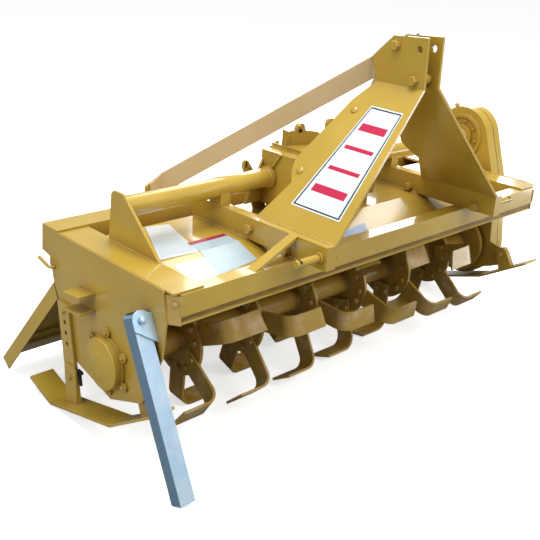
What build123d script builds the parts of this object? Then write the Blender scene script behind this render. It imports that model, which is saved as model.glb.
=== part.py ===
from build123d import *
import os
from math import cos, hypot, radians, sin

os.makedirs("parts", exist_ok=True)

# Rotary tiller for a tractor's three-point hitch. +Z is up, -Y points to the tractor, and -X is the
# machine's right. The origin is on the floor under the middle of the machine. Heights in the tables are
# above the deck, and lengths along Y are behind the front rail's face.
mid_x = -17.5
rail_y = -353.0
deck_z = 525.0

# Frame
frame_width = 1620.0
end_thick = 6.0
deck_thick = 4.0
rail_height, rail_flange, rail_thick = 58.0, 46.0, 6.0
rail_end_gap = 20.0
fold_front, fold_rear = 200.0, 450.0
hood_rear_y, hood_rear_z = 560.0, -80.0
lip_drop, lip_step = 20.0, 6.0
strap_width, strap_thick = 92.0, 6.0
rear_rail_front, rear_rail_depth, rear_rail_top, rear_rail_drop = 530.0, 84.0, 12.0, 82.0

# Three-point hitch
bar_out, bar_width, bar_height = 400.0, 34.0, 65.0
bar_front, bar_rear, bar_wall = -105.0, 450.0, 5.0
hitch_plate_thick = 8.0
mast_gap = 56.0
mast_foot_x = 374.0
mast_bend_z = 428.0
link_hole_radius, link_hole_y, link_hole_z = 9.75, -50.0, 531.0
hitch_pin_radius, hitch_pin_length, hitch_pin_y = 11.0, 88.0, -80.0
collar_radius, collar_length = 16.0, 9.0
pin_neck, pin_neck_length = 10.0, 1.0
brace_height, brace_thick = 66.0, 8.0
brace_rear, brace_turn_x, brace_end_x = 570.0, 425.0, 470.0

# Drive line
tube_radius, tube_wall, tube_y, tube_z = 29.0, 5.0, 345.0, 113.0
gusset_thick = 8.0
box_half, box_flange, box_front, box_rear, box_top = 150.0, 40.0, 235.0, 396.0, 195.0
box_wall, flange_foot = 14.0, 24.0
nose_radius, nose_length = 52.0, 34.0
pto_radius, pto_end = 17.4, 110.0
case_thick, cover_thick, case_wall = 45.0, 45.0, 12.0
# The gear case's rounds. Columns: length behind the rail's face, height above the deck, radius
case_rounds = ((tube_y, tube_z, 110.0), (312.0, -70.0, 136.0), (285.0, -285.0, 134.0))
boss_out, boss_in, boss_thick = 85.0, 72.0, 6.0

# Rotor
axis_y, axis_z = 285.0, -290.0
rotor_radius, rotor_wall, stub_radius = 38.0, 8.0, 22.0
swing_radius = 231.0
flange_radius, flange_thick = 112.0, 10.0
flange_count, flange_pitch, first_flange = 6, 231.0, -579.0
tine_width, tine_thick, tine_reach, tine_bend = 64.0, 8.0, 146.0, 42.0
tine_lead, tine_step = 25.0, -13.5

# Skids, parking leg and rear flap
skid_thick, skid_beyond, skid_under = 8.0, 50.0, 27.0
post_width, post_depth, post_front, post_top, post_rake = 10.0, 58.0, 438.0, -194.0, 0.12
post_hole_radius = 7.0
leg_width, leg_depth, leg_wall, leg_lean = 45.0, 41.0, 3.0, 24.7
leg_out, leg_top, leg_pivot_y, leg_pivot_z = 32.0, 22.0, 105.6, -90.9
leg_corner = 10.0
leg_pin_radius = 6.0
hinge_y, hinge_z, hinge_rod = 552.0, -102.0, 5.0
knuckle_radius, knuckle_length = 9.0, 60.0
flap_lean, flap_length, flap_side, flap_thick = 37.0, 462.0, 44.0, 4.0
flap_face, flap_top, flap_flare, rib_half = -20.0, 50.0, 57.0, 795.0
fit = 0.05
slack = 0.3

half = frame_width / 2
inner = half - end_thick
skid_out, skid_in, post_out = half + skid_beyond, half - skid_under, half + post_width


def at(y, z):
    """A point of a side view, from its length behind the rail's face and its height above the deck."""
    return (rail_y + y, deck_z + z)


def outline(*points):
    """The points of a side view as a closed polygon."""
    return Polygon(*[at(y, z) for y, z in points], align=None)


def strip(points, thick):
    """The closed outline of a bent strip: the points, then the same line moved to its right by thick."""
    normals = []
    for (ay, az), (by, bz) in zip(points, points[1:]):
        length = hypot(by - ay, bz - az)
        normals.append(((bz - az) / length, -(by - ay) / length))
    shifted = []
    for index, (y, z) in enumerate(points):
        before, after = normals[max(index - 1, 0)], normals[min(index, len(normals) - 1)]
        share = thick / (1 + before[0] * after[0] + before[1] * after[1])
        shifted.append((y + (before[0] + after[0]) * share, z + (before[1] + after[1]) * share))
    return points + shifted[::-1]


def across(side, near, far):
    """The plane and the width of a piece between two distances from the hitch's centre, on one side."""
    low = min(side * near, side * far)
    return Plane.YZ.offset(mid_x + low), abs(far - near)


# Each side's name and its direction along X
sides = (("right", -1), ("left", 1))

# ---- Frame -------------------------------------------------------------------------------------------
end_rear = [
    (132, -350), (282, -406), (455, -363), (564, -148), (570, -116), (581, -97), (578, -77), (621, -69),
    (612, rear_rail_top), (rear_rail_front, rear_rail_top), (rear_rail_front, strap_thick),
]
# The left plate's front edge is cut back to the gear case, with a lobe for the skid
end_fronts = {
    "right": [(40, strap_thick), (37, 0), (28, -80), (45, -183)],
    "left": [
        (40, strap_thick), (37, 0), (30, -60), (90, -80), (160, -150), (157, -185), (152, -257), (88, -272),
        (80, -325),
    ],
}
for name, side in sides:
    plane, width = across(side, inner, half)
    with BuildPart() as end_plate:
        with BuildSketch(plane):
            outline(*end_fronts[name], *end_rear)
            with Locations(at(axis_y, axis_z)):
                Circle(stub_radius + 8, mode=Mode.SUBTRACT)
            with Locations(at(hinge_y, hinge_z)):
                Circle(hinge_rod + slack, mode=Mode.SUBTRACT)
        extrude(amount=width)
    end_plate.part.label = f"end_plate_{name}"
    export_step(end_plate.part, f"parts/end_plate_{name}.step")

rail_half = inner - rail_end_gap
with BuildPart() as front_rail:
    with BuildSketch(Plane.YZ.offset(mid_x - rail_half)):
        outline(
            (0, 0), (rail_flange, 0), (rail_flange, -rail_thick), (rail_thick, -rail_thick),
            (rail_thick, -rail_height), (0, -rail_height),
        )
    extrude(amount=2 * rail_half)
front_rail.part.label = "front_rail"
export_step(front_rail.part, "parts/front_rail.step")

# Upright plates that close the frame's front corners, from the rail's end to the end plate's face
with BuildPart() as corner_plates:
    with BuildSketch(Plane.XY.offset(deck_z - rail_height - 24)):
        for name, side in sides:
            Polygon(
                (mid_x + side * rail_half, rail_y),
                (mid_x + side * inner, rail_y + 30),
                (mid_x + side * inner, rail_y + 30 + rail_thick),
                (mid_x + side * rail_half, rail_y + rail_thick),
                align=None,
            )
    extrude(amount=rail_height + 20)
corner_plates.part.label = "corner_plates"
export_step(corner_plates.part, "parts/corner_plates.step")

# Hood: lip, front slope, flat deck and rear slope of one sheet
hood_line = [
    (0, -rail_height - lip_drop), (lip_step, -rail_height - lip_drop + lip_step),
    (lip_step, -rail_height), (fold_front, 0), (fold_rear, 0), (hood_rear_y, hood_rear_z),
]
with BuildPart() as hood_deck:
    with BuildSketch(Plane.YZ.offset(mid_x - inner)):
        outline(*strip(hood_line, deck_thick))
    extrude(amount=2 * inner)
    # Notches for the corner plates
    with BuildSketch(Plane.XY.offset(deck_z - 2 * rail_height)):
        for name, side in sides:
            with Locations((mid_x + side * (rail_half + inner) / 2, rail_y)):
                Rectangle(rail_end_gap, 2 * (30 + rail_thick))
    extrude(amount=2 * rail_height, mode=Mode.SUBTRACT)
hood_deck.part.label = "hood_deck"
export_step(hood_deck.part, "parts/hood_deck.step")


def slope_height(y):
    """The height of the hood's rear slope."""
    return hood_rear_z * (y - fold_rear) / (hood_rear_y - fold_rear)


with BuildPart() as rear_rail:
    with BuildSketch(Plane.YZ.offset(mid_x - inner)):
        back = rear_rail_front + rear_rail_depth
        wall = rail_thick
        outline(
            (rear_rail_front, rear_rail_top), (back, rear_rail_top),
            (back, rear_rail_top - rear_rail_drop), (back - wall, rear_rail_top - rear_rail_drop),
            (back - wall, rear_rail_top - wall), (rear_rail_front + wall, rear_rail_top - wall),
            (rear_rail_front + wall, slope_height(rear_rail_front + wall)),
            (rear_rail_front, slope_height(rear_rail_front)),
        )
    extrude(amount=2 * inner)
rear_rail.part.label = "rear_rail"
export_step(rear_rail.part, "parts/rear_rail.step")

# Straps along both ends of the deck, each with a web down to the hood's front slope
with BuildPart() as end_straps:
    for name, side in sides:
        plane, width = across(side, inner - strap_width, inner)
        with BuildSketch(plane):
            outline(
                (lip_step, 0), (rear_rail_front, 0), (rear_rail_front, strap_thick), (lip_step, strap_thick)
            )
        extrude(amount=width)
        plane, width = across(side, inner - strap_width, inner - strap_width + strap_thick)
        with BuildSketch(plane):
            slope = rail_height / (fold_front - lip_step)
            outline(
                (rail_flange, strap_thick), (rail_flange, (rail_flange - fold_front) * slope),
                (fold_front, 0), (fold_front, strap_thick),
            )
        extrude(amount=width)
end_straps.part.label = "end_straps"
export_step(end_straps.part, "parts/end_straps.step")

# ---- Three-point hitch -------------------------------------------------------------------------------
for name, side in sides:
    plane, width = across(side, bar_out - bar_width, bar_out)
    hollow, hollow_width = across(side, bar_out - bar_width + bar_wall, bar_out - bar_wall)
    with BuildPart() as hitch_bar:
        with BuildSketch(plane):
            outline((bar_front, 0), (bar_rear, 0), (bar_rear, bar_height), (bar_front, bar_height))
        extrude(amount=width)
        with BuildSketch(hollow):
            outline(
                (bar_front + bar_wall, bar_wall), (bar_rear, bar_wall),
                (bar_rear, bar_height - bar_wall), (bar_front + bar_wall, bar_height - bar_wall),
            )
        extrude(amount=hollow_width, mode=Mode.SUBTRACT)
    hitch_bar.part.label = f"hitch_bar_{name}"
    export_step(hitch_bar.part, f"parts/hitch_bar_{name}.step")

    # The mast plate leans in from the bar and stands upright beside the top link
    mast_in, mast_out = mast_gap / 2, mast_gap / 2 + hitch_plate_thick
    lean = (mast_foot_x - mast_out) / (mast_bend_z - bar_height)
    flat = hitch_plate_thick * hypot(1, lean)
    with BuildPart() as mast_plate:
        with BuildSketch(Plane.XZ.offset(-rail_y)):
            Polygon(
                (mid_x + side * mast_foot_x, deck_z + bar_height),
                (mid_x + side * mast_out, deck_z + mast_bend_z),
                (mid_x + side * mast_in, deck_z + mast_bend_z),
                (mid_x + side * mast_in, deck_z + mast_bend_z - (flat - hitch_plate_thick) / lean),
                (mid_x + side * (mast_foot_x - flat), deck_z + bar_height),
                align=None,
            )
        extrude(amount=400, both=True)
        # Seen from above: front edge, rear edge with its rounded bulge at the gearbox
        with BuildSketch(Plane.XY.offset(deck_z)):
            with BuildLine():
                front = [(mast_foot_x + 10, -108), (mast_out, -78), (mast_in - 1, -77)]
                rear = [(mast_in - 1, 85), (mast_out, 87), (88, 128), (240, 190)]
                bulge = [(264, 176), (287, 151), (mast_foot_x + 10, 198)]
                points = [(mid_x + side * x, rail_y + y) for x, y in front + rear + bulge]
                Polyline(*points, close=True)
            make_face()
        extrude(amount=mast_bend_z, mode=Mode.INTERSECT)
        plane, width = across(side, mast_in, mast_out)
        with BuildSketch(plane):
            outline((-78, mast_bend_z), (-75, 564), (40, 559), (110, 495), (87, mast_bend_z))
            with Locations(at(link_hole_y, link_hole_z)):
                Circle(link_hole_radius, mode=Mode.SUBTRACT)
        extrude(amount=width)
    mast_plate.part.label = f"mast_plate_{name}"
    export_step(mast_plate.part, f"parts/mast_plate_{name}.step")

    # A narrow neck parts the pin from its collar
    pin_start = bar_out + collar_length + pin_neck_length
    with BuildPart() as hitch_pin:
        for radius, start, end in (
            (collar_radius, bar_out, bar_out + collar_length),
            (pin_neck, bar_out + collar_length, pin_start),
            (hitch_pin_radius, pin_start, bar_out + hitch_pin_length),
        ):
            plane, width = across(side, start, end)
            with BuildSketch(plane):
                with Locations(at(hitch_pin_y, bar_height / 2)):
                    Circle(radius)
            extrude(amount=width)
        # Cross hole for the linch pin
        with BuildSketch(Plane.XY.offset(deck_z)):
            with Locations((mid_x + side * (bar_out + hitch_pin_length - 12), rail_y + hitch_pin_y)):
                Circle(5)
        extrude(amount=bar_height, mode=Mode.SUBTRACT)
    hitch_pin.part.label = f"hitch_pin_{name}"
    export_step(hitch_pin.part, f"parts/hitch_pin_{name}.step")

# Flat straps from each bar's top edge down to the front rail
with BuildPart() as bar_gussets:
    with BuildSketch(Plane.XZ.offset(-rail_y - 5)):
        for name, side in sides:
            Polygon(
                (mid_x + side * bar_out, deck_z + bar_height),
                (mid_x + side * bar_out, deck_z + bar_height - 10),
                (mid_x + side * (bar_out + 128), deck_z),
                (mid_x + side * (bar_out + 148), deck_z),
                align=None,
            )
    extrude(amount=-30)
bar_gussets.part.label = "bar_gussets"
export_step(bar_gussets.part, "parts/bar_gussets.step")

with BuildPart() as mast_spacer:
    with BuildSketch(Plane.YZ.offset(mid_x - mast_gap / 2)):
        with Locations(at(-41, 448)):
            Circle(13)
    extrude(amount=mast_gap)
mast_spacer.part.label = "mast_spacer"
export_step(mast_spacer.part, "parts/mast_spacer.step")

# Brace: a flat bar folded about upright lines. Columns: distance from the centre, length behind the rail
brace_in = mast_gap / 2 - brace_thick / 2
brace_plan = [(brace_in, 5), (brace_in, 114), (brace_turn_x, brace_rear), (brace_end_x, brace_rear)]
brace_start, brace_slope, brace_lap = 532.0, 0.637, 1.8
for name, side in sides:
    run = 0.0
    with BuildPart() as brace:
        for index, ((ax, ay), (bx, by)) in enumerate(zip(brace_plan, brace_plan[1:])):
            length = hypot(bx - ax, by - ay)
            before = brace_lap if index > 0 else 0
            after = brace_lap if index < 2 else 0
            ahead = Vector(side * (bx - ax), by - ay, 0).normalized()
            start = brace_start - brace_slope * (run - before)
            end = brace_start - brace_slope * (run + length + after)
            origin = Vector(mid_x + side * ax, rail_y + ay, deck_z) - ahead * before
            sheet = Plane(origin=origin, x_dir=ahead, z_dir=ahead.cross(Vector(0, 0, 1)))
            span = length + before + after
            with BuildSketch(sheet):
                Polygon(
                    (0, start - brace_height / 2), (span, end - brace_height / 2),
                    (span, end + brace_height / 2), (0, start + brace_height / 2),
                    align=None,
                )
            extrude(amount=brace_thick / 2, both=True)
            run += length
    brace.part.label = f"brace_{name}"
    export_step(brace.part, f"parts/brace_{name}.step")

bracket_in, bracket_out, bracket_low, bracket_high = brace_turn_x + 11, brace_end_x + 12, 72.0, 96.0
with BuildPart() as brace_brackets:
    with BuildSketch(Plane.XZ.offset(-rail_y - brace_rear - brace_thick / 2)):
        for name, side in sides:
            Polygon(
                (mid_x + side * bracket_in, deck_z + rear_rail_top),
                (mid_x + side * bracket_out, deck_z + rear_rail_top),
                (mid_x + side * bracket_out, deck_z + bracket_low),
                (mid_x + side * bracket_in, deck_z + bracket_high),
                align=None,
            )
    extrude(amount=-brace_thick)
brace_brackets.part.label = "brace_brackets"
export_step(brace_brackets.part, "parts/brace_brackets.step")

# ---- Drive line --------------------------------------------------------------------------------------
gusset_x = inner - strap_width + gusset_thick
plane, width = across(-1, gusset_x - gusset_thick, gusset_x)
with BuildPart() as tube_gusset:
    with BuildSketch(plane):
        outline((178, strap_thick), (337, 150), (384, 150), (394, 139), (410, strap_thick))
    extrude(amount=width)
    corners = tube_gusset.edges().filter_by(Axis.X).group_by(Axis.Z)[-1]
    fillet(corners, 8)
tube_gusset.part.label = "tube_gusset"
export_step(tube_gusset.part, "parts/tube_gusset.step")

# Columns: name, start, end, start of its ring, the ring's radius
box_end, ring_width = box_half + box_flange, 14.0
tube_rows = (
    ("torque_tube", gusset_thick - gusset_x, -box_end, -box_end - ring_width, tube_radius + 6),
    ("drive_tube", box_end, half, half - ring_width, tube_radius + 16),
)
for name, start, end, ring, ring_radius in tube_rows:
    with BuildPart() as tube:
        with BuildSketch(Plane.YZ.offset(mid_x + start)):
            with Locations(at(tube_y, tube_z)):
                Circle(tube_radius)
        extrude(amount=end - start)
        with BuildSketch(Plane.YZ.offset(mid_x + ring)):
            with Locations(at(tube_y, tube_z)):
                Circle(ring_radius)
        extrude(amount=ring_width)
        with BuildSketch(Plane.YZ.offset(mid_x + start)):
            with Locations(at(tube_y, tube_z)):
                Circle(tube_radius - tube_wall)
        extrude(amount=end - start, mode=Mode.SUBTRACT)
    tube.part.label = name
    export_step(tube.part, f"parts/{name}.step")

# Saddles between the bars and the tubes
saddle_half = 26.0
with BuildPart() as tube_saddles:
    for name, side in sides:
        plane, width = across(side, bar_out - bar_width, bar_out)
        with BuildSketch(plane):
            front, rear = tube_y - saddle_half, tube_y + saddle_half
            outline((front, bar_height), (rear, bar_height), (rear, tube_z), (front, tube_z))
            with Locations(at(tube_y, tube_z)):
                Circle(tube_radius, mode=Mode.SUBTRACT)
        extrude(amount=width)
tube_saddles.part.label = "tube_saddles"
export_step(tube_saddles.part, "parts/tube_saddles.step")

with BuildPart() as gearbox:
    with BuildSketch(Plane.YZ.offset(mid_x - box_half)):
        outline((box_front, 0), (box_rear, 0), (box_rear, box_top), (box_front, box_top))
    extrude(amount=2 * box_half)
    fillet(gearbox.edges().filter_by(Axis.X).group_by(Axis.Z)[-1], 14)
    with BuildSketch(Plane.YZ.offset(mid_x - box_end)):
        low, high, front, rear = flange_foot, box_top - 4, box_front + 10, box_rear - 14
        outline((front, low), (rear, low), (rear, high), (front, high))
    extrude(amount=2 * box_end)
    # The casting is hollow under its cover
    with BuildSketch(Plane.XY.offset(deck_z + box_wall)):
        with Locations((mid_x, rail_y + (box_front + box_rear) / 2)):
            Rectangle(2 * (box_half - box_wall), box_rear - box_front - 2 * box_wall)
    extrude(amount=box_top, mode=Mode.SUBTRACT)
    # Nose around the input shaft, and the shaft's bore
    with BuildSketch(Plane.XZ.offset(-rail_y - box_front)):
        with Locations((mid_x, deck_z + tube_z)):
            Circle(nose_radius)
    extrude(amount=nose_length)
    with BuildSketch(Plane.XZ.offset(-rail_y - box_front - 40)):
        with Locations((mid_x, deck_z + tube_z)):
            Circle(pto_radius + fit)
    extrude(amount=90, mode=Mode.SUBTRACT)
gearbox.part.label = "gearbox"
export_step(gearbox.part, "parts/gearbox.step")

box_depth = box_rear - box_front
lid_thick, ear_radius, ear_hole, ear_thick, ear_top = 8.0, 18.0, 8.0, 12.0, 52.0
lift_start, lift_end, lift_height = -138.0, -4.0, 38.0
with BuildPart() as gearbox_cover:
    with BuildSketch(Plane.XY.offset(deck_z + box_top)):
        with Locations((mid_x, rail_y + (box_front + box_rear) / 2)):
            Rectangle(2 * box_half - box_wall, box_depth - box_wall)
    extrude(amount=lid_thick)
    # Lifting ears, the right one on an upright plate
    with BuildSketch(Plane.XZ.offset(-rail_y - tube_y + ear_thick)):
        with Locations((mid_x + lift_start, deck_z + box_top)):
            Rectangle(lift_end - lift_start, lift_height, align=(Align.MIN, Align.MIN))
        with Locations(*[(mid_x + ear, deck_z + box_top + ear_top) for ear in (-76, 60)]):
            Circle(ear_radius)
            Rectangle(2 * ear_radius, ear_top, align=(Align.CENTER, Align.MAX))
            Circle(ear_hole, mode=Mode.SUBTRACT)
    extrude(amount=-ear_thick)
gearbox_cover.part.label = "gearbox_cover"
export_step(gearbox_cover.part, "parts/gearbox_cover.step")

with BuildPart() as pto_shaft:
    with BuildSketch(Plane.XZ.offset(-rail_y - box_front - 38)):
        with Locations((mid_x, deck_z + tube_z)):
            Circle(pto_radius)
    extrude(amount=box_front + 38 - pto_end)
    # Six spline grooves at the free end
    with BuildSketch(Plane.XZ.offset(-rail_y - pto_end - 76)):
        with Locations((mid_x, deck_z + tube_z)):
            with PolarLocations(pto_radius, 6):
                Rectangle(5, 8.6)
    extrude(amount=76, mode=Mode.SUBTRACT)
pto_shaft.part.label = "pto_shaft"
export_step(pto_shaft.part, "parts/pto_shaft.step")

# Gear case: inner half and cover, both round at the tube and at the rotor's axis
for name, start, deep, bore in (
    ("gear_case", half, case_thick, 24), ("gear_case_cover", half + case_thick, cover_thick, 0)
):
    with BuildPart() as case:
        with BuildSketch(Plane.YZ.offset(mid_x + start)):
            for y, z, radius in case_rounds:
                with Locations(at(y, z)):
                    Circle(radius)
            make_hull()
        extrude(amount=deep)
        # Hollow towards the seam between the two halves
        with BuildSketch(Plane.YZ.offset(mid_x + start + bore)):
            for y, z, radius in case_rounds:
                with Locations(at(y, z)):
                    Circle(radius - case_wall)
            make_hull()
        extrude(amount=deep - (bore or case_wall), mode=Mode.SUBTRACT)
        if bore:
            with BuildSketch(Plane.YZ.offset(mid_x + start)):
                with Locations(at(axis_y, axis_z)):
                    Circle(stub_radius + fit)
            extrude(amount=bore, mode=Mode.SUBTRACT)
            # Raised ring round the drive tube
            with BuildSketch(Plane.YZ.offset(mid_x + start - boss_thick)):
                with Locations(at(tube_y, tube_z)):
                    Circle(boss_out)
                    Circle(boss_in, mode=Mode.SUBTRACT)
            extrude(amount=boss_thick)
        else:
            fillet(case.faces().sort_by(Axis.X)[-1].edges(), 14)
    case.part.label = name
    export_step(case.part, f"parts/{name}.step")

# Bearing housing on the right end plate: a flange with six ears, and a domed cover
hub_plate = 8.0
plane, width = across(-1, half, half + hub_plate)
with BuildPart() as hub_flange:
    with BuildSketch(plane):
        with Locations(at(axis_y, axis_z)):
            Circle(78)
            with PolarLocations(88, 6, start_angle=30):
                Circle(14)
            Circle(stub_radius + 8, mode=Mode.SUBTRACT)
    extrude(amount=width)
hub_flange.part.label = "hub_flange"
export_step(hub_flange.part, "parts/hub_flange.step")

hub_bore, hub_radius, hub_rim, hub_edge = 14.0, 74.0, 21.0, 4.0
cone_radius, cone_top, cone_height = 68.0, 24.0, 7.0
with BuildPart() as hub_cover:
    plane, width = across(-1, half + hub_plate, half + hub_plate + hub_rim)
    with BuildSketch(plane):
        with Locations(at(axis_y, axis_z)):
            Circle(hub_radius)
    extrude(amount=width)
    fillet(hub_cover.faces().sort_by(Axis.X)[0].edges(), hub_edge)
    # Shallow cone on the outer face
    cap = Vector(mid_x - half - hub_plate - hub_rim, rail_y + axis_y, deck_z + axis_z)
    with Locations(Plane(origin=cap, z_dir=(-1, 0, 0)).location):
        Cone(cone_radius, cone_top, cone_height, align=(Align.CENTER, Align.CENTER, Align.MIN))
    plane, width = across(-1, half + hub_plate, half + hub_plate + hub_bore)
    with BuildSketch(plane):
        with Locations(at(axis_y, axis_z)):
            Circle(stub_radius + fit)
    extrude(amount=width, mode=Mode.SUBTRACT)
hub_cover.part.label = "hub_cover"
export_step(hub_cover.part, "parts/hub_cover.step")

# ---- Rotor -------------------------------------------------------------------------------------------
with BuildPart() as rotor_shaft:
    for radius, start, end in (
        (stub_radius, -half - 20, half + 22),
        (rotor_radius, -inner + 12, inner - 12),
        (flange_radius, inner - 30, inner - 14),
    ):
        with BuildSketch(Plane.YZ.offset(mid_x + start)):
            with Locations(at(axis_y, axis_z)):
                Circle(radius)
        extrude(amount=end - start)
    for number in range(flange_count):
        middle = first_flange + number * flange_pitch
        with BuildSketch(Plane.YZ.offset(mid_x + middle - flange_thick / 2)):
            with Locations(at(axis_y, axis_z)):
                Circle(flange_radius)
        extrude(amount=flange_thick)
    with BuildSketch(Plane.YZ.offset(mid_x - inner + 12 + rotor_wall)):
        with Locations(at(axis_y, axis_z)):
            Circle(rotor_radius - rotor_wall)
    extrude(amount=2 * (inner - 12 - rotor_wall), mode=Mode.SUBTRACT)
rotor_shaft.part.label = "rotor_shaft"
export_step(rotor_shaft.part, "parts/rotor_shaft.step")

# One tine in its own frame: X is radial, Y is along the swing and Z along the rotor
blade_radius = (swing_radius**2 - (tine_width / 2) ** 2) ** 0.5
shank = flange_thick / 2
tine_foot = 58.0
tines = {}
for way in (-1, 1):
    with BuildPart() as tine:
        with BuildSketch(Plane.XZ):
            with BuildLine():
                turn = blade_radius - tine_bend
                inside = tine_bend - tine_thick
                Polyline(
                    (turn, way * (shank + tine_thick)), (tine_foot, way * (shank + tine_thick)),
                    (tine_foot, way * shank), (turn, way * shank),
                )
                ThreePointArc(
                    (turn, way * shank),
                    (turn + tine_bend * sin(radians(45)), way * (shank + tine_bend * (1 - cos(radians(45))))),
                    (blade_radius, way * (shank + tine_bend)),
                )
                Polyline(
                    (blade_radius, way * (shank + tine_bend)), (blade_radius, way * tine_reach),
                    (blade_radius - tine_thick, way * tine_reach),
                    (blade_radius - tine_thick, way * (shank + tine_bend)),
                )
                ThreePointArc(
                    (blade_radius - tine_thick, way * (shank + tine_bend)),
                    (turn + inside * sin(radians(45)), way * (shank + tine_bend - inside * cos(radians(45)))),
                    (turn, way * (shank + tine_thick)),
                )
            make_face()
        extrude(amount=tine_width / 2, both=True)
        # Slanted tip and tapered foot, cut along the radius
        with BuildSketch(Plane.YZ):
            Polygon(
                (-tine_width / 2, 0), (tine_width / 2, 0), (tine_width / 2, way * (tine_reach - 16)),
                (-tine_width / 2, way * tine_reach), align=None,
            )
        extrude(amount=swing_radius, mode=Mode.INTERSECT)
    tines[way] = tine.part

for number in range(flange_count):
    middle = first_flange + number * flange_pitch
    lead = tine_lead + number * tine_step
    # The set's own frame: X to the front, Y up, Z to the machine's right
    section = Plane(
        origin=(mid_x + middle, rail_y + axis_y, deck_z + axis_z), x_dir=(0, -1, 0), z_dir=(-1, 0, 0)
    )
    with BuildPart(section) as tine_set:
        for way, turn in ((-1, lead), (1, lead + 60)):
            with PolarLocations(0, 3, start_angle=turn):
                add(tines[way])
    tine_set.part.label = f"tines_{number + 1}"
    export_step(tine_set.part, f"parts/tines_{number + 1}.step")

# ---- Skids -------------------------------------------------------------------------------------------
# Each runner's underside from its rear tip to its front tip
runner_lines = {
    "right": [(652, -488), (535, -deck_z), (213, -443), (25, -324)],
    "left": [(652, -488), (535, -deck_z), (160, -400), (-20, -292)],
}


def line_top(ends, y):
    """The height of the upper face of a skid's straight part, from the two ends of its underside."""
    (rear_y, rear_z), (front_y, front_z) = ends
    slope = (front_z - rear_z) / (front_y - rear_y)
    return rear_z + (y - rear_y) * slope + skid_thick * hypot(1, slope)


for name, side in sides:
    plane, width = across(side, skid_in, skid_out)
    with BuildPart() as skid_runner:
        with BuildSketch(plane):
            outline(*strip(runner_lines[name], skid_thick))
        extrude(amount=width)
    skid_runner.part.label = f"skid_runner_{name}"
    export_step(skid_runner.part, f"parts/skid_runner_{name}.step")

# Front lugs. Columns: side, front and rear of the foot, top
lug_rows = {"right": (100.0, 148.0, -300.0), "left": (37.0, 86.0, -256.0)}
lug_lean, lug_corner = 26.0, 16.0
pad_front, pad_rear, pad_thick, pad_top, pad_corner = 439.0, 499.0, 6.0, -376.0, 12.0
with BuildPart() as skid_lugs:
    for name, side in sides:
        line = runner_lines[name]
        front, rear, top = lug_rows[name]
        plane, width = across(side, skid_in, inner)
        with BuildSketch(plane):
            outline(
                (front, line_top(line[2:], front)), (rear, line_top(line[2:], rear)),
                (rear + lug_lean, top - lug_corner), (rear + lug_lean - lug_corner, top),
                (front + lug_lean + lug_corner, top), (front + lug_lean, top - lug_corner),
            )
        extrude(amount=width)
        # Pad outside the post's foot
        plane, width = across(side, post_out, post_out + pad_thick)
        with BuildSketch(plane):
            outline(
                (pad_front, line_top(line[1:3], pad_front)), (pad_rear, line_top(line[1:3], pad_rear)),
                (pad_rear, pad_top - pad_corner), (pad_rear - pad_corner, pad_top),
                (pad_front + pad_corner, pad_top), (pad_front, pad_top - pad_corner),
            )
        extrude(amount=width)
skid_lugs.part.label = "skid_lugs"
export_step(skid_lugs.part, "parts/skid_lugs.step")

# Posts against the end plates, with four holes for the skid's height
hole_first, hole_pitch = -218.0, -33.0
with BuildPart() as skid_posts:
    for name, side in sides:
        plane, width = across(side, half, post_out)
        with BuildSketch(plane):
            ends = runner_lines[name][1:3]
            foot = line_top(ends, post_front)
            rise = post_rake * (post_top - foot)
            outline(
                (post_front, foot), (post_front + post_depth, line_top(ends, post_front + post_depth)),
                (post_front + post_depth + rise, post_top), (post_front + rise, post_top),
            )
            for number in range(4):
                height = hole_first + number * hole_pitch
                middle = post_front + post_depth / 2 + post_rake * (height - foot)
                with Locations(at(middle, height)):
                    Circle(post_hole_radius, mode=Mode.SUBTRACT)
        extrude(amount=width)
skid_posts.part.label = "skid_posts"
export_step(skid_posts.part, "parts/skid_posts.step")

# Two plates on each end plate ahead of the post. Columns: front, rear, top at the front, thickness
bracket_reach, bracket_fall = 51.0, 10.0
bracket_rows = ((342.0, 426.0, -109.0, 8.0), (342.0, 426.0, -158.0, 6.0))
with BuildPart() as skid_brackets:
    for name, side in sides:
        # The left ones lie behind the gear case
        shift = 0.0 if name == "right" else 122.0
        plane, width = across(side, half, half + bracket_reach)
        for front, rear, top, thick in bracket_rows:
            with BuildSketch(plane):
                outline(
                    (front + shift, top), (rear + shift, top - bracket_fall),
                    (rear + shift, top - bracket_fall - thick), (front + shift, top - thick),
                )
            extrude(amount=width)
skid_brackets.part.label = "skid_brackets"
export_step(skid_brackets.part, "parts/skid_brackets.step")

# ---- Parking leg -------------------------------------------------------------------------------------
# The leg's plane: origin on its pivot, X across the machine, Y up along the leg, Z out of its front face
lean = radians(leg_lean)
pivot = Vector(mid_x - half - leg_out, rail_y + leg_pivot_y, deck_z + leg_pivot_z)
leg_plane = Plane(origin=pivot, x_dir=(1, 0, 0), z_dir=(0, -cos(lean), sin(lean)))
leg_reach = (deck_z + leg_pivot_z - leg_depth / 2 * sin(lean)) / cos(lean)
with BuildPart() as parking_leg:
    # The tube and its hollow, which is closed at the top
    for wall, mode in ((0, Mode.ADD), (leg_wall, Mode.SUBTRACT)):
        side, top = leg_width / 2 - wall, leg_top - wall
        with BuildSketch(leg_plane.offset(-leg_depth / 2 + wall)):
            Polygon(
                (-side, -leg_reach), (side, -leg_reach), (side, top - leg_corner),
                (side - leg_corner, top), (leg_corner - side, top), (-side, top - leg_corner),
                align=None,
            )
        extrude(amount=leg_depth - 2 * wall, mode=mode)
    with BuildSketch(leg_plane.offset(-leg_depth / 2)):
        Circle(leg_pin_radius + fit)
    extrude(amount=leg_depth, mode=Mode.SUBTRACT)
parking_leg.part.label = "parking_leg"
export_step(parking_leg.part, "parts/parking_leg.step")

cheek_thick, cheek_gap = 5.0, 1.0
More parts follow.
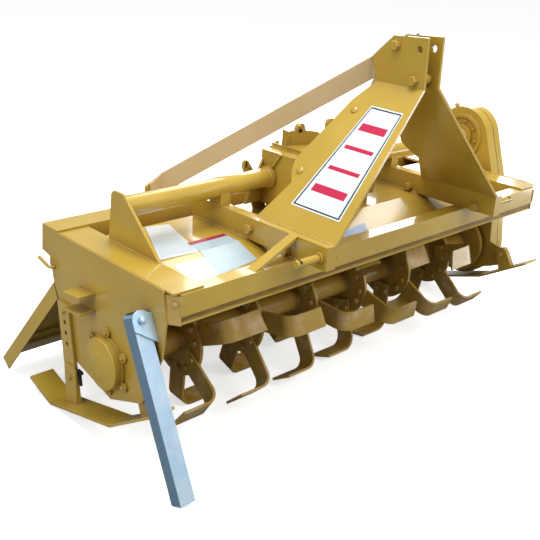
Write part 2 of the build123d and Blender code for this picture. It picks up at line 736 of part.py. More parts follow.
# Columns: offset of the cheek's rear face from the pivot, its round, its height at the end plate
cheek_rows = ((leg_depth / 2 + cheek_gap, 26.0, 12.0), (-leg_depth / 2 - cheek_gap - cheek_thick, 19.0, 8.0))
with BuildPart() as stand_bracket:
    for offset, cheek, height in cheek_rows:
        with BuildSketch(leg_plane.offset(offset)):
            Circle(cheek)
            Polygon((0, cheek), (leg_out, height), (leg_out, -64), (-cheek, -22), (-cheek, 0), align=None)
            Circle(leg_pin_radius, mode=Mode.SUBTRACT)
        extrude(amount=cheek_thick)
stand_bracket.part.label = "stand_bracket"
export_step(stand_bracket.part, "parts/stand_bracket.step")

pin_half = leg_depth / 2 + cheek_gap + cheek_thick
with BuildPart() as stand_pin:
    with BuildSketch(leg_plane.offset(-pin_half)):
        Circle(leg_pin_radius)
    extrude(amount=2 * pin_half)
    for offset in (-pin_half - 7, pin_half):
        with BuildSketch(leg_plane.offset(offset)):
            RegularPolygon(11, 6)
        extrude(amount=7)
stand_pin.part.label = "stand_pin"
export_step(stand_pin.part, "parts/stand_pin.step")

# ---- Rear flap ---------------------------------------------------------------------------------------
# The flap's plane: origin on the hinge, X down along the flap, Y to its rear face, Z across the machine
drop = radians(flap_lean)
flap_down, flap_back = Vector(0, sin(drop), -cos(drop)), Vector(0, cos(drop), sin(drop))
flap_axis = Vector(mid_x - half, rail_y + hinge_y, deck_z + hinge_z)
flap_plane = Plane(origin=flap_axis, x_dir=flap_down, z_dir=(1, 0, 0))
knuckle_places = [-0.8, -0.4, 0.0, 0.4, 0.8]
with BuildPart() as rear_flap:
    # Sheet: its top edge lies between the end plates, and below them it widens
    sheet_origin = flap_axis + Vector(half, 0, 0) + flap_back * (flap_face - flap_thick)
    with BuildSketch(Plane(origin=sheet_origin, x_dir=(1, 0, 0), z_dir=flap_back)):
        wide = half - slack
        edge = [(inner - 2, 0), (inner - 2, flap_top), (wide, flap_top), (wide + flap_flare, flap_length)]
        Polygon(*edge, *[(-x, y) for x, y in reversed(edge)], align=None)
    extrude(amount=flap_thick)
    # Stiffening ribs along the front face
    with BuildSketch(flap_plane.offset(half - rib_half)):
        for place in (0.74, 0.86):
            with Locations((place * flap_length, flap_face - flap_thick)):
                Rectangle(14, 9, align=(Align.CENTER, Align.MAX))
    extrude(amount=2 * rib_half)
    # End flanges along the sheet's slanted edges, cut clear of the end plates
    for name, side in sides:
        corner = flap_axis + Vector(half + side * (half - slack), 0, 0) + flap_down * flap_top
        along = (flap_down * (flap_length - flap_top) + Vector(side * flap_flare, 0, 0)).normalized()
        length = hypot(flap_length - flap_top, flap_flare)
        with BuildSketch(Plane(origin=corner, x_dir=along, z_dir=along.cross(flap_back))):
            Polygon(
                (0, flap_face), (22, flap_face - flap_side),
                (length, flap_face - flap_side), (length, flap_face), align=None,
            )
        extrude(amount=-side * flap_thick)
    for place in knuckle_places:
        with BuildSketch(flap_plane.offset(half + place * half - knuckle_length / 2)):
            Circle(knuckle_radius)
            # Leaf from the knuckle to the sheet
            Polygon(
                (0, knuckle_radius), (flap_top, flap_face), (flap_top, flap_face - flap_thick),
                (0, -knuckle_radius), align=None,
            )
        extrude(amount=knuckle_length)
    with BuildSketch(flap_plane):
        Circle(hinge_rod + fit)
    extrude(amount=frame_width, mode=Mode.SUBTRACT)
rear_flap.part.label = "rear_flap"
export_step(rear_flap.part, "parts/rear_flap.step")

rod_arm, rod_rise, rod_bend = 60.0, 15.0, 14.0
with BuildPart() as hinge_rod_part:
    with BuildLine() as path:
        FilletPolyline(
            (mid_x + half + 10, rail_y + hinge_y, deck_z + hinge_z),
            (mid_x - half - 16, rail_y + hinge_y, deck_z + hinge_z),
            (mid_x - half - 16, rail_y + hinge_y + rod_arm, deck_z + hinge_z + rod_rise),
            radius=rod_bend,
        )
    with BuildSketch(Plane(origin=path.line @ 0, z_dir=path.line % 0)):
        Circle(hinge_rod)
    sweep()
hinge_rod_part.part.label = "hinge_rod"
export_step(hinge_rod_part.part, "parts/hinge_rod.step")
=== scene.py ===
import math

import bpy
import numpy as np
from mathutils import Matrix, Vector


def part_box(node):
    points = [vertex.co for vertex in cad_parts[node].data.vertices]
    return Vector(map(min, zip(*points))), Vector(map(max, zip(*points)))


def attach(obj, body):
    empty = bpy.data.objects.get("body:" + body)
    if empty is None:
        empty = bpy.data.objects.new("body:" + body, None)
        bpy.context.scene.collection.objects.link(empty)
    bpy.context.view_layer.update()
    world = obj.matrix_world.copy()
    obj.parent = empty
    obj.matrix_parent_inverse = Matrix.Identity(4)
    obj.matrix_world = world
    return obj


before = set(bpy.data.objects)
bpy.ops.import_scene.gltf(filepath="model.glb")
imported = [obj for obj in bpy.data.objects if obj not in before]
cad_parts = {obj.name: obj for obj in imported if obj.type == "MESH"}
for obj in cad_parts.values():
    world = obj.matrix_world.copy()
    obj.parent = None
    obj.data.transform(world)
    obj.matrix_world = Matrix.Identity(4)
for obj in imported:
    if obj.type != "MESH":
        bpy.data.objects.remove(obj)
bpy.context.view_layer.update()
print("frame loaded:", len(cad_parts), "nodes")

# Every place below is measured as on the drawing, in mm: across from the hitch's centre line (positive to the
# machine's left), behind the front rail's face and above the deck
railLow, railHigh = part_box("front_rail")
centreX, railY, deckZ = (railLow.x + railHigh.x) / 2, railLow.y, railHigh.z
mm = 0.001
toLeft, toBack, toTop = (1, 0, 0), (0, 1, 0), (0, 0, 1)
# What several pieces share: half widths out to a face, places across, and axes as (behind, above)
machine = {
    "barInner": 366, "barOuter": 400, "deckEdge": 712, "railEnd": 784, "endPlate": 804,
    "rotorAxis": (285, -290), "flanges": [-579 + 231 * number for number in range(6)], "tubeAxis": (345, 113),
    "hoodFold": 200, "legPivot": (-842, 105.6, -90.9), "legLean": math.radians(24.7),
}


def place(points):
    # drawing measures in mm to the frame's metres, for one point or an array of them
    return np.asarray(points, float) * mm + np.array([centreX, railY, deckZ])


def linearColour(code):
    # an sRGB hex code to the linear values that a shader takes
    value = np.array([int(code[i:i + 2], 16) for i in (1, 3, 5)]) / 255
    value = np.where(value <= 0.04045, value / 12.92, ((value + 0.055) / 1.055) ** 2.4)
    return (*[float(v) for v in value], 1.0)


def feed(tree, node, inputs):
    # Inputs come by name or number, or else in the sockets' order. Another node's output is linked, a hex code
    # becomes its linear colour, and anything else is the socket's value
    for key, source in inputs.items() if isinstance(inputs, dict) else enumerate(inputs):
        if isinstance(source, bpy.types.NodeSocket):
            tree.links.new(source, node.inputs[key])
        else:
            node.inputs[key].default_value = linearColour(source) if isinstance(source, str) else source


def addNode(tree, kind, inputs=(), **settings):
    # one node with its settings, and what feeds it
    node = tree.nodes.new(kind)
    for name, value in settings.items():
        setattr(node, name, value)
    feed(tree, node, inputs)
    return node


def startMaterial(name, patterns):
    # An empty material with its shader and its noise patterns. A pattern is the size of its lumps in mm, its
    # detail and roughness, and how far it is drawn out along x, y and z if it is
    material = bpy.data.materials.new(name)
    material.use_nodes = True
    tree = material.node_tree
    tree.nodes.clear()
    surface = addNode(tree, "ShaderNodeBsdfPrincipled")
    addNode(tree, "ShaderNodeOutputMaterial", {"Surface": surface.outputs["BSDF"]})
    coords = addNode(tree, "ShaderNodeTexCoord").outputs["Object"]
    noise = {}
    for key, (size, detail, roughness, *stretch) in patterns.items():
        scale = [1 / share for share in stretch or (1, 1, 1)]
        mapping = addNode(tree, "ShaderNodeMapping", {"Vector": coords, "Scale": scale})
        noise[key] = addNode(tree, "ShaderNodeTexNoise", {
            "Vector": mapping.outputs["Vector"], "Scale": 1 / (size * mm), "Detail": detail, "Roughness": roughness,
        }).outputs["Fac"]
    return material, tree, surface, noise


def layered(tree, colour, layers):
    # A colour under its layers. A layer is a measure, the values of it at which the layer starts and is full,
    # how much then shows, and the layer's colour
    for measure, start, full, most, ink in layers:
        share = addNode(tree, "ShaderNodeMapRange", (measure, start, full, 0, most)).outputs["Result"]
        colour = addNode(tree, "ShaderNodeMix", {0: share, 6: colour, 7: ink}, data_type="RGBA").outputs[2]
    return colour


def enamel(name, look):
    # Alkyd enamel sprayed in one coat over welded plate: a glossy film with orange peel. Its colour also holds
    # painted
    # light: painted shade in its corners, and a paler edge that is partly thin film and partly a painted highlight
    material, tree, surface, noise = startMaterial(name, {
        "drift": (look["driftSize"], 2.0, 0.55), "cloud": (look["cloudSize"], 5.0, 0.6),
        "gloss": (look["glossSize"], 4.0, 0.55), "peel": (look["peelSize"], 2.0, 0.5),
    })
    corner = addNode(tree, "ShaderNodeAmbientOcclusion", {"Distance": look["reach"] * mm}, samples=4)
    rounding = addNode(tree, "ShaderNodeBevel", {"Radius": look["edge"] * mm}, samples=6)
    flat = addNode(tree, "ShaderNodeNewGeometry").outputs["True Normal"]
    agree = addNode(tree, "ShaderNodeVectorMath", (rounding.outputs["Normal"], flat), operation="DOT_PRODUCT")
    relief = addNode(tree, "ShaderNodeBump", {
        "Strength": look["peel"], "Distance": look["peelDepth"] * mm, "Height": noise["peel"],
        "Normal": rounding.outputs["Normal"],
    })
    feed(tree, surface, {
        "Base Color": layered(tree, look["colour"], [
            (noise["drift"], 0.35, 0.65, 1, look["driftColour"]),
            (noise["cloud"], 0.5, 0.75, look["cloud"], look["cloudColour"]),
            # painted shade: darker and browner in the corners and under parts, where the light hardly reaches
            (corner.outputs["AO"], 0.85, 0.15, look["cornerShade"], look["cornerShadeColour"]),
            # paler along sharp edges: partly thin film drawn back there, partly a painted highlight where edges catch
            # light
            (agree.outputs["Value"], 0.97, 0.8, look["edgeWearAndHighlight"], look["edgeWearAndHighlightColour"]),
        ]),
        "Roughness": addNode(tree, "ShaderNodeMapRange", (noise["gloss"], 0.3, 0.7, *look["gloss"])).outputs[0],
        "Normal": relief.outputs["Normal"], "IOR": 1.5,
        "Coat Weight": look["coat"], "Coat Roughness": look["coatGloss"],
    })
    return material


# Sizes are in mm. Cloud, the painted shade in corners and the paler edges are how much of each shows at most
plateLook = {
    "colour": "#C3A33C", "driftColour": "#B99831", "driftSize": 260,
    "cloudColour": "#CDAE52", "cloudSize": 60, "cloud": 0.25,
    # painted shade in corners: its brown, how far the AO looks, and its share at most
    "cornerShadeColour": "#70440F", "reach": 75, "cornerShade": 0.85,
    # paler edges, partly thin film and partly a painted highlight: their colour and share at most
    "edgeWearAndHighlightColour": "#DEC681", "edge": 1.6, "edgeWearAndHighlight": 0.6,
    "gloss": (0.3, 0.42), "glossSize": 35, "coat": 0.9, "coatGloss": 0.09,
    "peel": 0.2, "peelSize": 3.5, "peelDepth": 0.4,
}
# Sand-cast iron keeps its grain under the film
castLook = dict(plateLook, peelSize=1.8, peel=0.5, cloudSize=30, edge=2.5, coat=0.35, gloss=(0.38, 0.5))
# The tines were dipped: thicker film, with pale handling marks on the blades, and less painted shade in corners
tineLook = dict(
    plateLook, colour="#B5943B", driftColour="#A7822F", driftSize=120, cloudColour="#CDB18C", cloudSize=75,
    cloud=1.0, cornerShadeColour="#683C0F", reach=40, cornerShade=0.7, gloss=(0.32, 0.46), coat=0.6,
)
# The rotor's tube and flanges, low under the hood, are painted darker and browner as shade, with more painted shade
# reaching farther
rotorLook = dict(plateLook, colour="#B8943A", driftColour="#A9822F", cornerShadeColour="#5E300A", reach=110, cornerShade=0.95)
# The flat brace bars are duller, and painted paler and more tan than the rest: a painted highlight for the light
# their wide faces catch
braceLook = dict(
    plateLook, colour="#CDB489", driftColour="#C6AC7E", cloudColour="#D2BA93", edgeWearAndHighlightColour="#D2BF97",
    gloss=(0.45, 0.6), coat=0.05,
)
# The corner plates are painted paler and less even than the rest: a painted highlight for the light their angled
# faces reflect
cornerLook = dict(braceLook, colour="#C9AE6A", driftColour="#C0A055", gloss=(0.3, 0.45))
# Painted shade: a dark, dull enamel for the band under the rail's face, standing in for the shadow along the hood's
# lip
lipShadeLook = dict(plateLook, colour="#7A5C1C", driftColour="#6C4E14", edgeWearAndHighlight=0, coat=0.1)


def zincPlate(name, look):
    # Mild steel, electroplated with zinc and blue passivated: satin metal with cloudy spangle and faint draw
    # marks, and painted shade on its faces turned to the machine's right
    material, tree, surface, noise = startMaterial(name, {
        "cloud": (look["cloudSize"], 4.0, 0.6), "stain": (look["stainSize"], 5.0, 0.65, 1, 1, 3),
        "draw": (look["drawSize"], 2.0, 0.5, 1, 1, 40),
    })
    rounding = addNode(tree, "ShaderNodeBevel", {"Radius": look["edge"] * mm}, samples=6)
    facing = addNode(tree, "ShaderNodeNewGeometry").outputs["Normal"]
    turned = addNode(tree, "ShaderNodeVectorMath", (facing, (-1, 0, 0)), operation="DOT_PRODUCT")
    relief = addNode(tree, "ShaderNodeBump", {
        "Strength": look["draw"], "Distance": look["drawDepth"] * mm, "Height": noise["draw"],
        "Normal": rounding.outputs["Normal"],
    })
    feed(tree, surface, {
        "Base Color": layered(tree, look["colour"], [
            (noise["cloud"], 0.38, 0.64, 1, look["cloudColour"]),
            (noise["stain"], 0.55, 0.75, look["stain"], look["stainColour"]),
            # painted shade: the faces turned to the machine's right are painted darker, as if in shade
            (turned.outputs["Value"], 0.5, 0.9, look["far"], look["rightFacingShadeColour"]),
        ]),
        "Roughness": addNode(tree, "ShaderNodeMapRange", (noise["stain"], 0.3, 0.7, *look["gloss"])).outputs[0],
        "Normal": relief.outputs["Normal"], "Metallic": look["metal"],
    })
    return material


zincLook = {
    "colour": "#B3D2EA", "cloudColour": "#C8DFF0", "cloudSize": 60,
    "stainColour": "#A2C0D2", "stainSize": 40, "stain": 0.3,
    # far is the share at most of the painted shade on faces turned to the machine's right
    "rightFacingShadeColour": "#6488A3", "far": 0.9, "edge": 2.0, "metal": 0.4, "gloss": (0.3, 0.5),
    "draw": 0.15, "drawSize": 1.6, "drawDepth": 0.3,
}


def turnedSteel(name, look):
    # Carbon steel turned on a lathe, oiled and unpainted: bright metal with fine rings round its axis
    material, tree, surface, noise = startMaterial(name, {"rings": (look["ringSize"], 2.0, 0.5, 30, 1, 30)})
    feed(tree, surface, {
        "Base Color": layered(tree, look["colour"], [(noise["rings"], 0, 1, 1, look["ringColour"])]),
        "Roughness": addNode(tree, "ShaderNodeMapRange", (noise["rings"], 0.3, 0.7, *look["gloss"])).outputs[0],
        "Metallic": 1.0,
    })
    return material


steelLook = {"colour": "#8C8A86", "ringColour": "#B4B1AA", "ringSize": 1.2, "gloss": (0.25, 0.4)}


def vinylFilm(name, look):
    # Calendered vinyl film, screen printed and pressed on by hand: smooth and glossy, with a slight waviness.
    # The print is laid out on the piece's own UV map, in shares of its width and length. Columns of a panel:
    # middle and half of its width, middle and half of its length, ink
    material, tree, surface, noise = startMaterial(name, {
        "tone": (look["toneSize"], 3.0, 0.55), "wave": (look["waveSize"], 2.0, 0.55),
    })
    sheet = addNode(tree, "ShaderNodeUVMap", uv_map="sheet").outputs["UV"]
    wide, long = addNode(tree, "ShaderNodeSeparateXYZ", (sheet,)).outputs[:2]
    layers = [(noise["tone"], 0.35, 0.65, 1, look["filmDrift"])]
    for middleWide, halfWide, middleLong, halfLong, ink in look["panels"]:
        inside = [
            addNode(tree, "ShaderNodeMath", (share, middle, half), operation="COMPARE").outputs[0]
            for share, middle, half in ((wide, middleWide, halfWide), (long, middleLong, halfLong))
        ]
        both = addNode(tree, "ShaderNodeMath", inside, operation="MULTIPLY").outputs[0]
        layers.append((both, 0, 1, 1, ink))
    relief = addNode(tree, "ShaderNodeBump", {
        "Strength": look["wave"], "Distance": look["waveDepth"] * mm, "Height": noise["wave"],
    })
    feed(tree, surface, {
        "Base Color": layered(tree, look["film"], layers), "Normal": relief.outputs["Normal"],
        "Roughness": look["gloss"], "IOR": 1.53,
    })
    return material


# What the films share, sizes in mm
filmLook = {"toneSize": 45, "waveSize": 25, "wave": 0.2, "waveDepth": 1, "gloss": 0.3}
# White film with a thin dark outline and plain red stripes
mastFilmLook = dict(filmLook, film="#DDE6E8", filmDrift="#E6EBEB", panels=(
    (0.5, 0.472, 0.5, 0.488, "#1C2530"), (0.5, 0.442, 0.5, 0.4755, "#DDE6E8"),
    (0.5, 0.36, 0.2, 0.035, "#C4254C"), (0.5, 0.36, 0.5, 0.12, "#C4254C"),
    (0.5, 0.36, 0.5, 0.085, "#DDE6E8"), (0.5, 0.36, 0.8, 0.035, "#C4254C"),
))
# Plain films: white with a greyer panel, blue-grey with a red head, and pale blue
whiteFilmLook = dict(filmLook, film="#D5D8D6", filmDrift="#CBD1D2", panels=((0.5, 0.45, 0.7, 0.24, "#BECBD0"),))
headedFilmLook = dict(filmLook, film="#AEBFC6", filmDrift="#A5B8C0", panels=((0.5, 0.5, 0.06, 0.06, "#9C1F45"),))
blueFilmLook = dict(filmLook, film="#A9BDD2", filmDrift="#9FB6D0", panels=((0.5, 0.44, 0.5, 0.4, "#93AECF"),))


def openingBlack(name, look):
    # The unlit inside of a drilled hole, with a trace of oily dust
    material, tree, surface, noise = startMaterial(name, {"dust": (look["dustSize"], 3.0, 0.55)})
    feed(tree, surface, {
        "Base Color": layered(tree, look["colour"], [(noise["dust"], 0, 1, 1, look["dustColour"])]),
        "Roughness": look["gloss"],
    })
    return material


openingLook = {"colour": "#15110A", "dustColour": "#2A2213", "dustSize": 4, "gloss": 0.8}

plateEnamel = enamel("yellow_enamel_on_plate", plateLook)
castEnamel = enamel("yellow_enamel_on_cast_iron", castLook)
tineEnamel = enamel("yellow_enamel_on_spring_steel", tineLook)
rotorEnamel = enamel("yellow_enamel_on_rotor_tube", rotorLook)
braceEnamel = enamel("flat_bar_enamel_with_painted_highlight", braceLook)
cornerEnamel = enamel("corner_enamel_with_painted_highlight", cornerLook)
lipShadeEnamel = enamel("painted_shade_enamel", lipShadeLook)
plating = zincPlate("blue_passivated_zinc", zincLook)
shaftSteel = turnedSteel("turned_shaft_steel", steelLook)
holeDark = openingBlack("dark_opening", openingLook)
mastFilm = vinylFilm("striped_vinyl_film", mastFilmLook)
whiteFilm = vinylFilm("white_vinyl_film", whiteFilmLook)
headedFilm = vinylFilm("red_headed_vinyl_film", headedFilmLook)
blueFilm = vinylFilm("pale_blue_vinyl_film", blueFilmLook)

finishes = {
    castEnamel: ("gearbox", "gearbox_cover", "gear_case", "gear_case_cover", "hub_flange", "hub_cover"),
    tineEnamel: ("tines_1", "tines_2", "tines_3", "tines_4", "tines_5", "tines_6"),
    rotorEnamel: ("rotor_shaft",),
    braceEnamel: ("brace_right", "brace_left"),
    cornerEnamel: ("corner_plates",),
    plating: ("parking_leg", "stand_bracket", "stand_pin"),
    shaftSteel: ("pto_shaft",),
}
nodeFinish = {node: material for material, nodes in finishes.items() for node in nodes}
for node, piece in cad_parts.items():
    for cell in piece.material_slots:
        cell.material = nodeFinish.get(node, plateEnamel)
print("materials given to the frame's nodes")


def gridFaces(rows, columns, closed):
    # quads between neighbouring rows and columns of a grid; the last column meets the first when closed
    wide = columns if closed else columns - 1
    row, column = np.meshgrid(np.arange(rows - 1) * columns, np.arange(wide), indexing="ij")
    beside = (column + 1) % columns
    corners = [row + column, row + beside, row + columns + beside, row + columns + column]
    return np.stack(corners, -1).reshape(-1, 4)


def addPiece(name, points, faces, material, body, smooth=30):
    # one mesh from points in metres, riding on its body; edges turning by more than smooth degrees stay sharp
    mesh = bpy.data.meshes.new(name)
    mesh.from_pydata(np.asarray(points).tolist(), [], [list(map(int, face)) for face in faces])
    mesh.materials.append(material)
    mesh.polygons.foreach_set("use_smooth", [smooth > 0] * len(mesh.polygons))
    mesh.update()
    if smooth > 0:
        mesh.set_sharp_from_angle(angle=math.radians(smooth))
    piece = bpy.data.objects.new(name, mesh)
    bpy.context.scene.collection.objects.link(piece)
    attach(piece, body)
    return piece


def axesFrom(direction):
    # Two directions square to each given one, for all rows at once: first = helper x along and
    # second = along x first, where the helper is up, or across for a direction that is nearly upright
    along = direction / np.linalg.norm(direction, axis=-1, keepdims=True)
    helper = np.where(np.abs(along[..., 2:3]) < 0.9, [0.0, 0.0, 1.0], [1.0, 0.0, 0.0])
    first = np.cross(helper, along)
    first /= np.linalg.norm(first, axis=-1, keepdims=True)
    return first, np.cross(along, first), along


def arcPairs(centre, reach, start, end, count=9):
    # places evenly on an arc about a centre, angles in degrees
    turn = np.radians(np.linspace(start, end, count))
    return [(centre[0] + reach * float(c), centre[1] + reach * float(s)) for c, s in zip(np.cos(turn), np.sin(turn))]


def boltRows(groups):
    # one row for each head, and for a mirrored group another on the machine's other side
    rows = []
    for group in groups.values():
        x, y, z = group["way"]
        for side in (1, -1) if group.get("mirrored") else (1,):
            rows += [(side * spot[0], *spot[1:], side * x, y, z, group["size"]) for spot in group["spots"]]
    return rows


def turnedSet(name, form, rows, material, body):
    # Copies of one turned form. A point is centre + r(angle, station) * (cos(angle) * first + sin(angle) * second)
    # + height(station) * direction; on the form's flat stations the radius follows six flats,
    # r = R * cos(30) / cos(angle mod 60 - 30). Rows are across, behind, above, direction x y z, and size
    rows = np.asarray(rows, float)
    radius, height = np.asarray(form["profile"], float).T
    sides, stations = form["sides"], len(radius)
    angle = np.arange(sides) * 2 * np.pi / sides
    wide = np.repeat(radius[:, None], sides, 1)
    if "flats" in form:
        low, high = form["flats"]
        wide[low:high] *= math.cos(math.pi / 6) / np.cos(np.mod(angle, np.pi / 3) - np.pi / 6)
    first, second, along = axesFrom(rows[:, 3:6])
    size = rows[:, 6][:, None, None] * mm
    ring = first[:, None] * np.cos(angle)[None, :, None] + second[:, None] * np.sin(angle)[None, :, None]
    points = (
        place(rows[:, :3])[:, None, None]
        + ring[:, None] * (wide[None, :, :] * size)[..., None]
        + along[:, None, None] * (height[None, :, None] * size)[..., None]
    )
    starts = np.arange(len(rows))[:, None] * stations * sides
    quads = (gridFaces(stations, sides, True)[None] + starts[..., None]).reshape(-1, 4)
    ends = np.arange(sides)
    lids = [*(ends[::-1] + starts), *(ends + starts + (stations - 1) * sides)]
    return addPiece(name, points.reshape(-1, 3), [*quads, *lids], material, body)


# Forms: radius and height of each station, in shares of a row's size. The first is a hexagon head on its washer
headForm = {
    "profile": [(1.15, -0.05), (1.15, 0.18), (1.0, 0.19), (1.0, 0.75), (0.86, 0.86)], "flats": (2, 4), "sides": 12,
}
# Round carriage head, a low dome
domeForm = {
    "profile": [(1.0, -0.05), (1.0, 0.12), (0.93, 0.24), (0.7, 0.38), (0.35, 0.46), (0.08, 0.48)], "sides": 20,
}
# Mouth of a drilled hole
holeForm = {"profile": [(1.0, -0.05), (1.0, 0.04), (0.3, 0.05)], "sides": 16}
# Neck, knurled cap and button of the breather
breatherForm = {
    "profile": [(0.6, -0.1), (0.6, 0.5), (1.0, 0.55), (1.05, 1.5), (0.95, 1.7), (0.4, 1.78), (0.4, 2.1), (0.1, 2.15)],
    "sides": 16,
}

inner, outer = machine["barInner"], machine["barOuter"]
toRight, toFront = (-1, 0, 0), (0, -1, 0)
# Bolts by what they hold. A spot is across, behind and above, and the size is the thread's
frameBolts = {
    "barOutside": {"size": 14, "way": toLeft, "mirrored": True, "spots": [(outer, 193, 32), (outer, 46, 12)]},
    "barInside": {"size": 14, "way": toRight, "mirrored": True, "spots": [(inner, 234, 16), (inner, -34, 14)]},
    "mastCheek": {"size": 14, "way": toLeft, "mirrored": True, "spots": [(36, 30, 533), (36, -41, 448)]},
    "bearingEar": {
        "size": 6.5, "way": toRight,
        "spots": [(-818, *pair) for pair in arcPairs(machine["rotorAxis"], 88, 30, 330, 6)],
    },
    "tubeFlange": {
        "size": 6, "way": toRight,
        "spots": [(810, *pair) for pair in arcPairs(machine["tubeAxis"], 61, 9, 324, 8)],
    },
    "gearboxLid": {
        "size": 6, "way": toTop, "spots": [(x, y, 203) for x in (-128, -64, 0, 64, 128) for y in (250, 381)],
    },
    "shaftSeal": {"size": 5, "way": toFront, "spots": [(x, 201, z) for x, z in arcPairs((0, 113), 40, 0, 300, 6)]},
    "skidPad": {"size": 10, "way": toLeft, "mirrored": True, "spots": [(826, 469, -412)]},
    "skidPost": {"size": 8, "way": toLeft, "mirrored": True, "spots": [(820, 500, -218)]},
    "leftSkidLug": {"size": 9, "way": toRight, "spots": [(783, 90, -284)]},
    "rightSkidLug": {"size": 9, "way": toLeft, "spots": [(-783, 152, -326)]},
}
turnedSet("frame_bolts", headForm, boltRows(frameBolts), plateEnamel, "frame")
# Square to the mast's inclined flanks
carriageHeads = {
    "mastFlank": {
        "size": 12, "way": (363, 0, 338), "mirrored": True, "spots": [(106.3, 98.7, 352.5), (258.1, 147.5, 189.4)],
    },
}
turnedSet("carriage_heads", domeForm, boltRows(carriageHeads), plateEnamel, "frame")
cornerHeads = {
    "cornerPlate": {"size": 9, "way": (0.83, -0.55, 0), "mirrored": True, "spots": [(794, 14, -27)]},
}
turnedSet("corner_heads", domeForm, boltRows(cornerHeads), cornerEnamel, "frame")
# Small drilled openings in the rail's face, in the gearbox's plate, and in the hitch pins for the linch pins
railOpenings = {
    "railRight": {"size": 3.5, "way": toFront, "spots": [(-247, 0, -28)]},
    "railLeft": {"size": 5, "way": toFront, "spots": [(572, 0, -9)]},
    "gearboxPlate": {"size": 6.5, "way": (-0.4, -0.917, 0), "spots": [(-89.1, 322.1, 246)]},
    "hitchPin": {"size": 4.5, "way": (0, -0.8, 0.6), "mirrored": True, "spots": [(476, -88.8, 39.1)]},
}
turnedSet("rail_openings", holeForm, boltRows(railOpenings), holeDark, "frame")
# Cap of the leg's pivot, forward of it on the bracket's front cheek
legCap = {"size": 8, "forward": 33.6}
pivot, lean = np.array(machine["legPivot"]), machine["legLean"]
pivotWay = np.array([0, -math.cos(lean), math.sin(lean)])
capRow = (*(pivot + legCap["forward"] * pivotWay), *pivotWay, legCap["size"])
turnedSet("leg_pin_cap", domeForm, [capRow], plating, "frame")
# Breather on top of the gear case
breather = {"gearCase": {"size": 8.5, "way": (0, 0.25, 0.97), "spots": [(822, 388, 213)]}}
turnedSet("breather", breatherForm, boltRows(breather), castEnamel, "frame")
print("bolts and heads done")

# Two bolts hold each tine against its flange, the head on the tine and the nut on the flange's other face. Both
# are measured from the flange's middle. Angles are in degrees, turned from the front, up positive
rotorBolts = {
    "size": 9, "reach": 90, "spread": 13, "head": 13, "nut": 5, "firstTurn": 25, "turnStep": 13.5, "arms": 3,
}
rotorY, rotorZ = machine["rotorAxis"]
rotorRows = []
for number, middle in enumerate(machine["flanges"]):
    lead = rotorBolts["firstTurn"] - number * rotorBolts["turnStep"]
    for way, turn in ((1, lead), (-1, lead + 60)):
        for arm in range(rotorBolts["arms"]):
            for offset in (-rotorBolts["spread"], rotorBolts["spread"]):
                spot = math.radians(turn + arm * 360 / rotorBolts["arms"] + offset)
                y = rotorY - rotorBolts["reach"] * math.cos(spot)
                z = rotorZ + rotorBolts["reach"] * math.sin(spot)
                rotorRows.append((middle + way * rotorBolts["head"], y, z, way, 0, 0, rotorBolts["size"]))
                rotorRows.append((middle - way * rotorBolts["nut"], y, z, -way, 0, 0, rotorBolts["size"]))
turnedSet("rotor_bolts", headForm, rotorRows, tineEnamel, "rotor")
print("rotor bolts done")

hoodSlope = 58 / 194  # fall of the hood's front face towards the rail


def hoodTop(behind):
    # height of the hood's upper face: level behind its fold, falling to the front of it
    return np.where(behind < machine["hoodFold"], (behind - machine["hoodFold"]) * hoodSlope, 0.0)


def filmSheet(name, look):
    # One sheet between four corners A, B, C, D: P(u, v) = (1 - v) * ((1 - u) A + u B) + v * ((1 - u) D + u C),
    # raised by lift along its normal, or on the hood lifted to just over the height that hoodTop gives
    u, v = np.meshgrid(np.linspace(0, 1, 9), np.linspace(0, 1, 61))
    a, b, c, d = (np.array(corner, float) for corner in look["corners"])
    shares = [(1 - u) * (1 - v), u * (1 - v), u * v, (1 - u) * v]
    points = sum(share[..., None] * corner for share, corner in zip(shares, (a, b, c, d)))
    if look["onHood"]:
        points[..., 2] = hoodTop(points[..., 1]) + look["lift"]
    else:
        normal = np.cross(d - a, b - a)
        points += normal / np.linalg.norm(normal) * look["lift"]
    outward = gridFaces(*u.shape, False)[:, ::-1]
    piece = addPiece(name, place(points.reshape(-1, 3)), outward, look["material"], "frame", smooth=60)
    layer = piece.data.uv_layers.new(name="sheet")
    index = np.empty(len(piece.data.loops), int)
    piece.data.loops.foreach_get("vertex_index", index)
    layer.data.foreach_set("uv", np.stack([u, v], -1).reshape(-1, 2)[index].ravel())


films = {
    "mast_film": {
        "material": mastFilm, "lift": 0.5, "onHood": False,
        "corners": [(-89.9, 51.6, 370.1), (-91.7, -62.4, 368.2), (-329.6, -74.8, 112.7), (-328.4, 107.7, 114.0)],
    },
    "hood_film_1": {
        "material": whiteFilm, "lift": 0.5, "onHood": True,
        "corners": [(-576, 445, 0), (-506, 427, 0), (-573, 200, 0), (-693, 212, 0)],
    },
    "hood_film_2": {
        "material": headedFilm, "lift": 0.9, "onHood": True,
        "corners": [(-560, 271, 0), (-428, 271, 0), (-440, 113, 0), (-586, 97, 0)],
    },
    "hood_film_3": {
        "material": whiteFilm, "lift": 0.5, "onHood": True,
        "corners": [(-674, 178, 0), (-556, 174, 0), (-597, 48, 0), (-690, 62, 0)],
    },
    "hood_film_4": {
        "material": blueFilm, "lift": 0.5, "onHood": True,
        "corners": [(-76, 125, 0), (27, 136, 0), (-32, 43, 0), (-178, 40, 0)],
    },
}
for name, look in films.items():
    filmSheet(name, look)
print("films done")

# Ripples of a weld bead, and the taper of its ends down to the least share of its radius. Lengths in mm
beadLook = {"step": 1.6, "pitch": 5, "ripple": 0.14, "taper": 6, "least": 0.02, "sides": 8}


